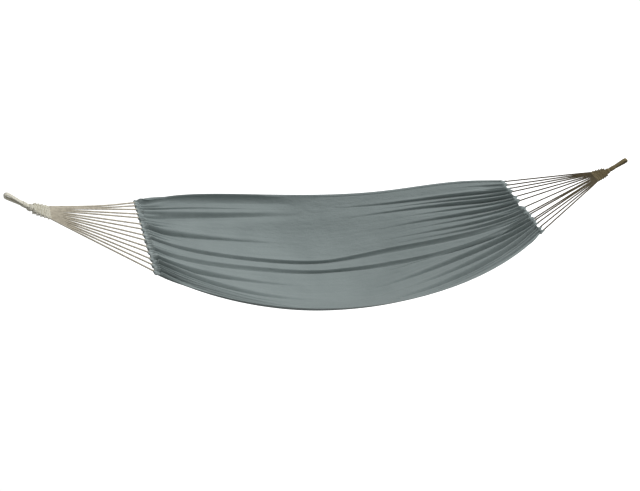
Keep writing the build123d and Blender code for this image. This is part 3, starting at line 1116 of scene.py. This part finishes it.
@dataclass(frozen=True)
class TwistedCord:
    """A cord of twisted plies: its section is a circle with a lobe for each ply that turns along its length."""

    diameter: float = 0.0075
    plies: int = 3
    lay: float = 0.019
    groove: float = 0.18
    tight: float = 0.0
    tight_run: float = 0.045
    sides: int = 12
    step: float = 0.0014

    def profile(self, length: np.ndarray, start: float = 0.0) -> np.ndarray:
        """The section at each length along the cord: half the diameter, less the grooves, at a turning angle.

        The cord is thinner at its two ends by the share `tight`, where it comes out of the tight weave.

        Args:
            length: Lengths along the cord.
            start: Angle at its start.

        Returns:
            The sections' points, a row for each length.
        """
        turn = np.linspace(0.0, 2 * math.pi, self.sides, endpoint=False)
        lobed = self.diameter / 2 * (1 - self.groove * (1 - np.cos(self.plies * turn)) / 2)
        ends = power_fall(length, self.tight_run, 2.0) + power_fall(length[-1] - length, self.tight_run, 2.0)
        radius = lobed[None] * (1 - self.tight * ends[:, None])
        angle = turn[None] + start + 2 * math.pi * length[:, None] / self.lay
        return np.stack([radius * np.cos(angle), radius * np.sin(angle)], axis=-1)

    def along(self, name: str, path: np.ndarray, up: np.ndarray, start: float = 0.0):
        """Makes the cord along a path.

        Args:
            name: The piece's name.
            path: Points of its centreline, evenly spaced.
            up: A direction that it never follows.
            start: Angle at its start.

        Returns:
            The object.
        """
        steps = np.linalg.norm(np.diff(path, axis=0), axis=1)
        length = np.concatenate([[0.0], np.cumsum(steps)])
        return swept(name, path, up, self.profile(length, start))


def evenly(points: np.ndarray, step: float) -> np.ndarray:
    """Points evenly spaced along a line through the given points."""
    steps = np.linalg.norm(np.diff(points, axis=0), axis=1)
    length = np.concatenate([[0.0], np.cumsum(steps)])
    places = np.linspace(0.0, length[-1], max(2, int(round(length[-1] / step)) + 1))
    return np.stack([np.interp(places, length, points[:, axis]) for axis in range(3)], axis=-1)


def spline_points(controls: np.ndarray, step: float) -> np.ndarray:
    """Points along a NURBS spline that has the given control points.

    Args:
        controls: The route's points.
        step: Distance between the points wanted.

    Returns:
        Points read from the spline, evenly spaced.
    """
    curve = bpy.data.curves.new("route", "CURVE")
    curve.dimensions = "3D"
    curve.resolution_u = 48
    spline = curve.splines.new("NURBS")
    spline.points.add(len(controls) - 1)
    spline.points.foreach_set("co", np.hstack([controls, np.ones((len(controls), 1))]).ravel())
    spline.order_u = 3
    spline.use_endpoint_u = True
    holder = bpy.data.objects.new("route", curve)
    bpy.context.scene.collection.objects.link(holder)
    mesh = bpy.data.meshes.new_from_object(holder)
    read = np.empty(len(mesh.vertices) * 3)
    mesh.vertices.foreach_get("co", read)
    bpy.data.objects.remove(holder)
    bpy.data.curves.remove(curve)
    bpy.data.meshes.remove(mesh)
    return evenly(read.reshape(-1, 3), step)


@dataclass(frozen=True)
class HeadPlane:
    """The plane of the left fan, from the neck's centre down towards the hem."""

    layout: Layout

    @property
    def origin(self) -> np.ndarray:
        """The neck's centre."""
        return np.array([self.layout.neck_run, 0.0, -self.layout.neck_drop])

    @property
    def along(self) -> np.ndarray:
        """Direction from the neck to the middle of the hem."""
        run = self.layout.hem_run - self.layout.neck_run
        drop = self.layout.hem_drop - self.layout.neck_drop
        return unit(np.array([run, 0.0, -drop]))

    @property
    def up(self) -> np.ndarray:
        """The plane's normal, upwards."""
        return np.array([-self.along[2], 0.0, self.along[0]])

    def place(self, along: np.ndarray, across: np.ndarray, up: np.ndarray) -> np.ndarray:
        """Points by their distances along the fan, across it and above it."""
        along, across, up = np.broadcast_arrays(along, across, up)
        flat = self.origin + along[..., None] * self.along + up[..., None] * self.up
        return flat + across[..., None] * np.array([0.0, 1.0, 0.0])


@dataclass
class Harness:
    """The seven cords of one end, each of which runs through the hem and back."""

    layout: Layout
    end: End
    strands: tuple[float, ...]
    slack: dict[int, float] = field(default_factory=dict)
    cord: TwistedCord = TwistedCord(tight=0.2)
    head_length: float = 0.072
    tuck: float = 0.004
    pitch: float = 0.0049
    inset: float = 0.013
    lead: float = 0.024
    plain_diameter: float = 0.006

    def route(self, number: int) -> np.ndarray:
        """The control points of one cord: from the head down a strand, through the hem, and up the next strand.

        Args:
            number: The cord's number, from 0 at the far side.

        Returns:
            The points.
        """
        plane = HeadPlane(self.layout)
        half = self.layout.hem_width(self.end) / 2
        legs = []
        for strand in (2 * number, 2 * number + 1):
            spread = (len(self.strands) - 1) / 2 - strand
            start = plane.place(np.array(self.head_length - self.tuck), np.array(spread * self.pitch), np.array(0.0))
            corner = np.array([self.layout.hem_run + self.inset, self.strands[strand] * half, -self.layout.hem_drop])
            beside = corner + unit(start - corner) * self.lead
            sag = self.slack.get(strand, 0.0)
            leg = [start, corner]
            if sag:
                third, two_thirds = start + (corner - start) / 3, start + (corner - start) * 2 / 3
                leg = [start, third - Z_UP * sag, two_thirds - Z_UP * sag, beside, corner]
            else:
                leg = [start, beside, corner]
            legs.append(leg)
        return self.layout.at_end(self.end, np.array(legs[0] + legs[1][::-1]))

    def build(self, material) -> None:
        """Makes the seven cords, each in place of its CAD cord.

        Args:
            material: The cotton cord.
        """
        for number in range(len(self.strands) // 2):
            route = self.route(number)
            path = spline_points(route, self.cord.step)
            piece = self.cord.along(f"{self.end.value}_cord_{number + 1}", path, Z_UP, 0.9 * number)
            dress(piece, "bed", material, (f"{self.end.value}_harness_cord_{number + 1}",))


@dataclass
class WovenHead:
    """The wedge below a neck in which a crossing cord is woven over and under the strands."""

    layout: Layout
    end: End
    strand_count: int = 14
    start: float = 0.009
    length: float = 0.072
    pitch: float = 0.0049
    top_pitch: float = 0.0026
    crossings: int = 9
    lift: float = 0.0026
    spread_power: float = 0.7
    cord: TwistedCord = TwistedCord(diameter=0.0058, step=0.0016)
    crossing_cord: TwistedCord = TwistedCord(diameter=0.0056, lay=0.013, step=0.0014)

    def pitch_at(self, place: np.ndarray) -> np.ndarray:
        """Distance between strands: it widens from the neck to the free edge, quickly at first."""
        share = np.clip((place - self.start) / (self.length - self.start), 0.0, 1.0)
        return self.top_pitch + (self.pitch - self.top_pitch) * share**self.spread_power

    def strand(self, number: int) -> np.ndarray:
        """A strand's line: it spreads from the neck, stacked in two layers there, and waves over the crossings."""
        place = np.linspace(self.start, self.length + 0.004, 60)
        share = np.clip((place - self.start) / (self.length - self.start), 0.0, 1.0)
        spread = (self.strand_count - 1) / 2 - number
        layer = (1 - share) ** 1.5 * 0.006 * (1 if number % 2 else -1) * (1 - (spread / 9) ** 2)
        wave = self.lift * np.cos(np.pi * self.crossings * share + np.pi * number) * share**0.5
        plane = HeadPlane(self.layout)
        return evenly(plane.place(place, spread * self.pitch_at(place), layer + wave), self.cord.step)

    def crossing(self) -> np.ndarray:
        """The crossing cord's line: it goes from side to side down the head, over one strand and under the next."""
        rows = []
        plane = HeadPlane(self.layout)
        for row in range(self.crossings):
            place = self.start + (row + 0.5) / self.crossings * (self.length - self.start)
            half = (self.strand_count / 2) * float(self.pitch_at(np.array(place))) + 0.0012
            across = np.linspace(half, -half, 90) * (1 if row % 2 else -1)
            phase = across / float(self.pitch_at(np.array(place)))
            share = row / self.crossings
            height = (self.lift * 1.2 + (1 - share) * 0.0066) * np.cos(np.pi * phase + np.pi * row)
            rows.append(plane.place(np.full(90, place), across, height))
        return evenly(np.concatenate(rows), self.crossing_cord.step)

    def build(self, material) -> None:
        """Makes the strands and the crossing cord as one piece.

        Args:
            material: The cotton cord.
        """
        plane = HeadPlane(self.layout)
        pieces = []
        for number in range(self.strand_count):
            line = self.layout.at_end(self.end, self.strand(number))
            pieces.append(self.cord.along(f"strand_{number}", line, np.array([0.0, 1.0, 0.0]), number))
        line = self.layout.at_end(self.end, self.crossing())
        up = self.layout.at_end(self.end, plane.up) - self.layout.at_end(self.end, np.zeros(3))
        pieces.append(self.crossing_cord.along("crossing", line, up))
        head = joined(f"{self.end.value}_head_weave", pieces)
        dress(head, "bed", material, (f"{self.end.value}_woven_head",))


@dataclass
class NeckKnot:
    """The round knot at a neck: cord wound over a ball in slanted turns."""

    layout: Layout
    end: End
    radius: float = 0.0145
    turns: int = 7
    cord: TwistedCord = TwistedCord(diameter=0.0046, lay=0.012, step=0.0012)

    def build(self, material) -> None:
        """Makes two windings on one ball, slanted opposite ways.

        A winding's point is at an angle around the neck's axis that grows by its turns while its distance along
        the axis goes from one pole to the other as a cosine does.

        Args:
            material: The cotton cord.
        """
        plane = HeadPlane(self.layout)
        wound = self.radius - self.cord.diameter / 2
        pieces = []
        for tilt in (0.5, -0.5):
            share = np.linspace(0.06, 0.94, 900)
            latitude = np.pi * share
            angle = 2 * np.pi * self.turns * share
            along, ring = np.cos(latitude) * wound, np.sin(latitude) * wound
            across, up = ring * np.cos(angle), ring * np.sin(angle)
            turned_along = along * math.cos(tilt) - up * math.sin(tilt)
            turned_up = along * math.sin(tilt) + up * math.cos(tilt)
            line = evenly(plane.place(turned_along, across, turned_up), self.cord.step)
            line = self.layout.at_end(self.end, line)
            centre = self.layout.at_end(self.end, plane.origin)
            pieces.append(self.cord.along(f"winding_{tilt}", line, line - centre))
        knot = joined(f"{self.end.value}_neck_knot_winding", pieces)
        dress(knot, "bed", material, (f"{self.end.value}_neck_knot",))


@dataclass
class WrappedEye:
    """An eye: a flat bundle of cords looped over the hook, wrapped all along, and whipped above the neck."""

    layout: Layout
    end: End
    core_width: float = 0.016
    core_thickness: float = 0.0042
    band_width: float = 0.0188
    band_thickness: float = 0.007
    hook_gap: float = 0.009
    leg_gap: float = 0.0006
    cup_depth: float = 0.0075
    whip_from_neck: float = 0.034
    whip_wire: float = 0.0025
    wrap_pitch: float = 0.0024
    wrap_groove: float = 0.0006
    whip_turns: int = 8

    @property
    def length(self) -> float:
        """From the bearing point to the neck's centre."""
        return math.hypot(self.layout.neck_run, self.layout.neck_drop)

    def place(self, along: np.ndarray, above: np.ndarray, across: np.ndarray) -> np.ndarray:
        """Points by their distances along the eye from the bearing point, above its middle and across it."""
        slope = math.atan2(self.layout.neck_drop, self.layout.neck_run)
        x = along * math.cos(slope) + above * math.sin(slope)
        z = -along * math.sin(slope) + above * math.cos(slope)
        return self.layout.at_end(self.end, np.stack([x, across + 0 * x, z], axis=-1))

    def leg(self, count: int) -> tuple[np.ndarray, np.ndarray]:
        """The upper leg's middle line: parallel under the whipping, then an S out to the width at the hook."""
        narrow = (self.band_thickness + self.leg_gap) / 2
        wide = (self.hook_gap + self.band_thickness) / 2
        waist = self.length - self.whip_from_neck - self.whip_wire
        along = np.linspace(self.length - self.cup_depth, self.hook_gap / 2, count)
        share = np.clip((waist - along) / (waist - self.hook_gap / 2), 0.0, 1.0)
        return along, narrow + (wide - narrow) * share**2 * (3 - 2 * share)

    def loop(self, step: float) -> np.ndarray:
        """The band's middle line in the eye's plane: down the upper leg, round the hook and back up the lower leg."""
        along, above = self.leg(80)
        wide = (self.hook_gap + self.band_thickness) / 2
        turn = np.linspace(np.pi / 2, 3 * np.pi / 2, 40)[1:-1]
        tip_along, tip_above = self.hook_gap / 2 + wide * np.cos(turn), wide * np.sin(turn)
        line = np.concatenate([
            np.stack([along, above, 0 * along], axis=-1),
            np.stack([tip_along, tip_above, 0 * turn], axis=-1),
            np.stack([along[::-1], -above[::-1], 0 * along], axis=-1),
        ])
        return evenly(line, step)

    def band(self, name: str, width: float, thickness: float, ridges: bool):
        """A flat band with round edges along the loop.

        Its section is a circle's points to a power that flattens them. With ridges, the section swells by the
        wrapping's turns: |sin(pi (length / pitch + angle / a full turn))|.

        Args:
            name: The piece's name.
            width: The band's width.
            thickness: Its thickness.
            ridges: Whether it carries the wrapping's turns.

        Returns:
            The object.
        """
        step = self.wrap_pitch / 6 if ridges else 0.0015
        flat_line = self.loop(step)
        line = self.place(flat_line[:, 0], flat_line[:, 1], flat_line[:, 2])
        length = np.arange(len(line)) * step
        turn = np.linspace(0, 2 * math.pi, 32, endpoint=False)
        wide = np.sign(np.cos(turn)) * np.abs(np.cos(turn)) ** 0.65
        tall = np.sign(np.sin(turn)) * np.abs(np.sin(turn)) ** 0.75
        swell = np.zeros((len(line), len(turn)))
        if ridges:
            uneven = 0.12 * np.sin(length / 0.017) + 0.08 * np.sin(length / 0.0071)
            phase = length[:, None] / self.wrap_pitch + uneven[:, None] + turn[None] / (2 * math.pi)
            swell = -self.wrap_groove * (1 - np.abs(np.sin(np.pi * phase)))
        else:
            swell = -0.0006 * (1 - np.abs(np.sin(turn * 5)))[None] + swell
        profile = np.stack([wide * (width / 2 + swell), tall * (thickness / 2 + swell)], axis=-1)
        return swept(name, line, self.loop_up(flat_line), profile)

    def loop_up(self, flat_line: np.ndarray) -> np.ndarray:
        """The direction out of the loop at each of its points, in the frame."""
        forward = np.gradient(flat_line, axis=0)
        out = unit(np.stack([-forward[:, 1], forward[:, 0], 0 * forward[:, 0]], axis=-1))
        return self.place(out[:, 0], out[:, 1], out[:, 2]) - self.place(0 * out[:, 0], 0 * out[:, 1], 0 * out[:, 2])

    def whipping(self) -> tuple[np.ndarray, np.ndarray]:
        """The whipping's line round both legs, an oval helix, and its direction outwards."""
        turns = np.linspace(0, self.whip_turns, 90 * self.whip_turns)
        start = self.length - self.whip_from_neck
        along = start + turns / self.whip_turns * 0.0185
        angle = 2 * math.pi * turns
        half_wide, half_tall = self.band_width / 2 + self.whip_wire * 0.35, self.band_thickness + self.whip_wire * 0.45
        across = half_wide * np.sign(np.cos(angle)) * np.abs(np.cos(angle)) ** 0.8
        above = half_tall * np.sign(np.sin(angle)) * np.abs(np.sin(angle)) ** 0.8
        line = self.place(along, above, across)
        return line, unit(line - self.place(along, 0 * above, 0 * across))

    def build(self, wrap_material, cord_material) -> None:
        """Makes the bundle, the wrapping and the whipping.

        Args:
            wrap_material: The wrapping's cotton.
            cord_material: The cords' cotton.
        """
        body = f"{self.end.value}_eye"
        core = self.band(f"{self.end.value}_eye_bundle", self.core_width, self.core_thickness, False)
        dress(core, body, cord_material, (f"{body}_core",))
        serving = self.band(f"{self.end.value}_eye_wrapping", self.band_width, self.band_thickness, True)
        dress(serving, body, wrap_material, (f"{body}_serving",))
        line, out = self.whipping()
        cord = TwistedCord(diameter=0.0026, plies=3, lay=0.008, groove=0.15, step=0.0012)
        whip = cord.along(f"{self.end.value}_eye_whip", line, out)
        dress(whip, body, cord_material, (f"{body}_whipping",))


# The studio

@dataclass(frozen=True)
class Studio:
    """A pale floor, a white surround, soft lamps and the camera at the photograph's viewing angle."""

    camera_place: tuple[float, float, float] = (-0.0897, -2.3477, 1.9578)
    yaw: float = 0.5363
    pitch: float = -0.7115
    roll: float = 0.2779
    focal_pixels: float = 800.0
    image_width: float = 640.0
    sensor: float = 36.0
    floor_height: float = -1.6
    world_light: float = 0.34
    floor_seen: float = 0.8
    floor_bounce: float = 0.3
    floor_glow: float = 0.76
    key_place: tuple[float, float, float] = (5.0, 0.6, 4.4)
    key_size: float = 3.0
    key_power: float = 262.0
    target: tuple[float, float, float] = (1.43, 0.0, -0.4)

    def camera(self) -> None:
        """Makes the camera; its turn is given by yaw from +Y, pitch above level and roll."""
        forward = np.array([math.sin(self.yaw) * math.cos(self.pitch), math.cos(self.yaw) * math.cos(self.pitch), math.sin(self.pitch)])
        level = np.array([math.cos(self.yaw), -math.sin(self.yaw), 0.0])
        above = np.cross(level, forward)
        right = level * math.cos(self.roll) + above * math.sin(self.roll)
        up = -level * math.sin(self.roll) + above * math.cos(self.roll)
        data = bpy.data.cameras.new("camera")
        data.sensor_width = self.sensor
        data.lens = self.focal_pixels * self.sensor / self.image_width
        data.clip_end = 100.0
        holder = bpy.data.objects.new("camera", data)
        bpy.context.scene.collection.objects.link(holder)
        turn = Matrix(np.stack([right, up, -forward], axis=1).tolist()).to_4x4()
        turn.translation = self.camera_place
        holder.matrix_world = turn
        bpy.context.scene.camera = holder

    def surround(self) -> None:
        """Sets the world: white where it is seen, and a soft even light on the object."""
        world = bpy.data.worlds.new("studio")
        world.use_nodes = True
        bpy.context.scene.world = world
        graph = Graph(world.node_tree)
        paths = graph.node("LightPath").outputs
        seen = graph.math("MAXIMUM", graph.math("MAXIMUM", paths["Is Camera Ray"], paths["Is Glossy Ray"]), paths["Is Transmission Ray"])
        strength = graph.spread(seen, 0.0, 1.0, self.world_light, 1.0)
        background = world.node_tree.nodes["Background"]
        background.inputs["Color"].default_value = (1.0, 1.0, 1.0, 1.0)
        world.node_tree.links.new(strength, background.inputs["Strength"])

    def floor(self) -> None:
        """Makes the floor: diffuse, lifted to white where the camera sees it."""
        points = np.array([[-30.0, -30.0, 0.0], [30.0, -30.0, 0.0], [30.0, 30.0, 0.0], [-30.0, 30.0, 0.0]])
        points[:, 2] = self.floor_height
        piece = new_piece("studio_floor", points, np.array([[0, 1, 2, 3]]), np.zeros((4, 2)))
        material = bpy.data.materials.new("studio_floor_white")
        material.use_nodes = True
        graph = Graph(material.node_tree)
        shader = material.node_tree.nodes["Principled BSDF"]
        shader.inputs["Roughness"].default_value = 0.9
        shader.inputs["Emission Color"].default_value = (1.0, 1.0, 1.0, 1.0)
        paths = graph.node("LightPath").outputs
        seen = graph.math("MAXIMUM", graph.math("MAXIMUM", paths["Is Camera Ray"], paths["Is Glossy Ray"]), paths["Is Transmission Ray"])
        tone = graph.spread(seen, 0.0, 1.0, self.floor_bounce, self.floor_seen)
        graph.tree.links.new(graph.node("CombineColor", {0: tone, 1: tone, 2: tone}).outputs[0], shader.inputs["Base Color"])
        graph.tree.links.new(graph.math("MULTIPLY", seen, self.floor_glow), shader.inputs["Emission Strength"])
        piece.data.materials.append(material)

    def lamps(self) -> None:
        """Makes one large soft lamp, overhead and to the right."""
        data = bpy.data.lights.new("overhead", "AREA")
        data.shape = "SQUARE"
        data.size = self.key_size
        data.energy = self.key_power
        holder = bpy.data.objects.new("overhead", data)
        bpy.context.scene.collection.objects.link(holder)
        back = unit(np.array(self.key_place) - np.array(self.target))
        side = unit(np.cross(Z_UP, back))
        turn = Matrix(np.stack([side, np.cross(back, side), back], axis=1).tolist()).to_4x4()
        turn.translation = self.key_place
        holder.matrix_world = turn

    def build(self) -> None:
        """Makes the whole studio."""
        bpy.context.scene.view_settings.view_transform = "Standard"
        self.camera()
        self.surround()
        self.floor()
        self.lamps()


@dataclass
class Hammock:
    """The whole hammock, made in order from its bed to its eyes."""

    layout: Layout = Layout()

    def build(self) -> None:
        """Makes every piece and dresses it."""
        groups = Groups.build()
        canvas = Canvas().build(groups)
        # A lighter copy of the canvas for the left end hem: painted light that lifts the shade in its gathers.
        lit_hem_canvas = Canvas(name="canvas_painted_light", base=(0.65, 0.69, 0.688), dark=(0.54, 0.58, 0.578),
                       light=(0.72, 0.76, 0.758)).build(groups)
        cord = CottonYarn().build(groups)
        pale = CottonYarn(name="cotton_wrapping", base=(0.95, 0.94, 0.88), light=(0.97, 0.96, 0.93),
                          dark=(0.58, 0.54, 0.44), patch_scale=230.0).build(groups)
        # A darker copy of the woven cotton for the right end's head, knot and eye: painted shade on that end.
        right_shade_woven = CottonYarn(name="cotton_woven_painted_shade", base=(0.54, 0.49, 0.37), light=(0.64, 0.60, 0.48),
                          dark=(0.34, 0.29, 0.20), patches=0.5, patch_scale=190.0).build(groups)
        # A darker brown copy of the cord for the right strands: painted shade on that end's strands.
        shaded = CottonYarn(name="cotton_cord_painted_shade", base=(0.35, 0.315, 0.235), light=(0.44, 0.40, 0.31),
                            dark=(0.23, 0.195, 0.135)).build(groups)
        thread = CottonYarn(name="hem_thread", base=(0.50, 0.55, 0.54), dark=(0.42, 0.47, 0.46), light=(0.6, 0.64, 0.63)).build(groups)
        gathers = {
            End.LEFT: Gather(self.layout, End.LEFT, LEFT_FOLDS, LEFT_STRANDS, 11),
            End.RIGHT: Gather(self.layout, End.RIGHT, RIGHT_FOLDS, RIGHT_STRANDS, 23, pucker_rise=0.6),
        }
        bed = BedCloth(self.layout, gathers)
        bed.build(canvas)
        for side in (1, -1):
            SideHem(bed, side).build(canvas, thread)
        slack = {End.LEFT: {0: 0.008, 1: 0.006}, End.RIGHT: {}}
        for end in End:
            notch = {} if end is End.LEFT else {"scallop": 1.0, "deepest": 0.028, "tab": 0.010}
            # The left end hem takes the lighter canvas copy, painted light; the right one takes the plain canvas.
            EndHem(bed, gathers[end], **notch).build(lit_hem_canvas if end is End.LEFT else canvas)
            # The right end takes the darker copies of the cord and the woven cotton, which are painted shade.
            strands, woven = (cord, pale) if end is End.LEFT else (shaded, right_shade_woven)
            Harness(self.layout, end, gathers[end].strands, slack[end]).build(strands)
            WovenHead(self.layout, end).build(woven)
            NeckKnot(self.layout, end).build(woven)
            WrappedEye(self.layout, end).build(woven, woven)


def main() -> None:
    """Builds the studio and the hammock."""
    logging.basicConfig(level=logging.INFO, format="%(message)s")
    Studio().build()
    Hammock().build()
    bpy.context.view_layer.update()


if __name__ == "__main__":
    main()
